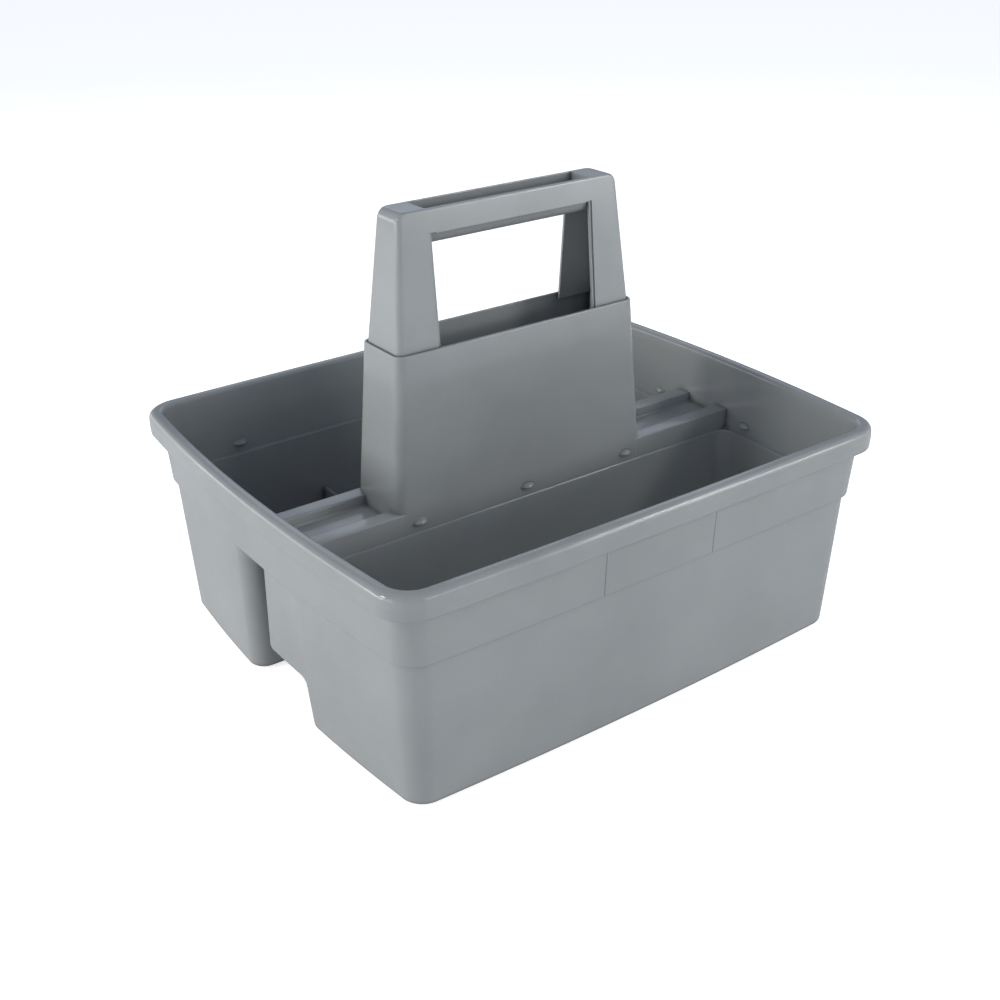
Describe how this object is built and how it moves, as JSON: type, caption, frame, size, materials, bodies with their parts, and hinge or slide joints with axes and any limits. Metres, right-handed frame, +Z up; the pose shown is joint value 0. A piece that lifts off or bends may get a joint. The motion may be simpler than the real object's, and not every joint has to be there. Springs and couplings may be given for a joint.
{
  "type": "tool storage caddy",
  "caption": "Moulded tray with two deep bins, a tunnel between them and a hollow pedestal that holds a plug-in carrying handle.",
  "frame": {"origin": "on the table, under the middle of the caddy", "axes": "+X along the caddy's length and the handle's grip, +Y towards the bin with the cross ribs, +Z up"},
  "size_m": [0.4, 0.34, 0.308],
  "materials": {
    "body_plastic": "semi-gloss moulded grey polypropylene",
    "handle_plastic": "semi-gloss moulded grey polypropylene"
  },
  "bodies": {
    "caddy": {"caddy_body": "body_plastic"},
    "handle": {"handle": "handle_plastic"}
  },
  "joints": [
    {"name": "handle_lift", "type": "slide", "parent": "caddy", "child": "handle", "axis": [0, 0, 1], "range_m": [0, 0.06]}
  ]
}
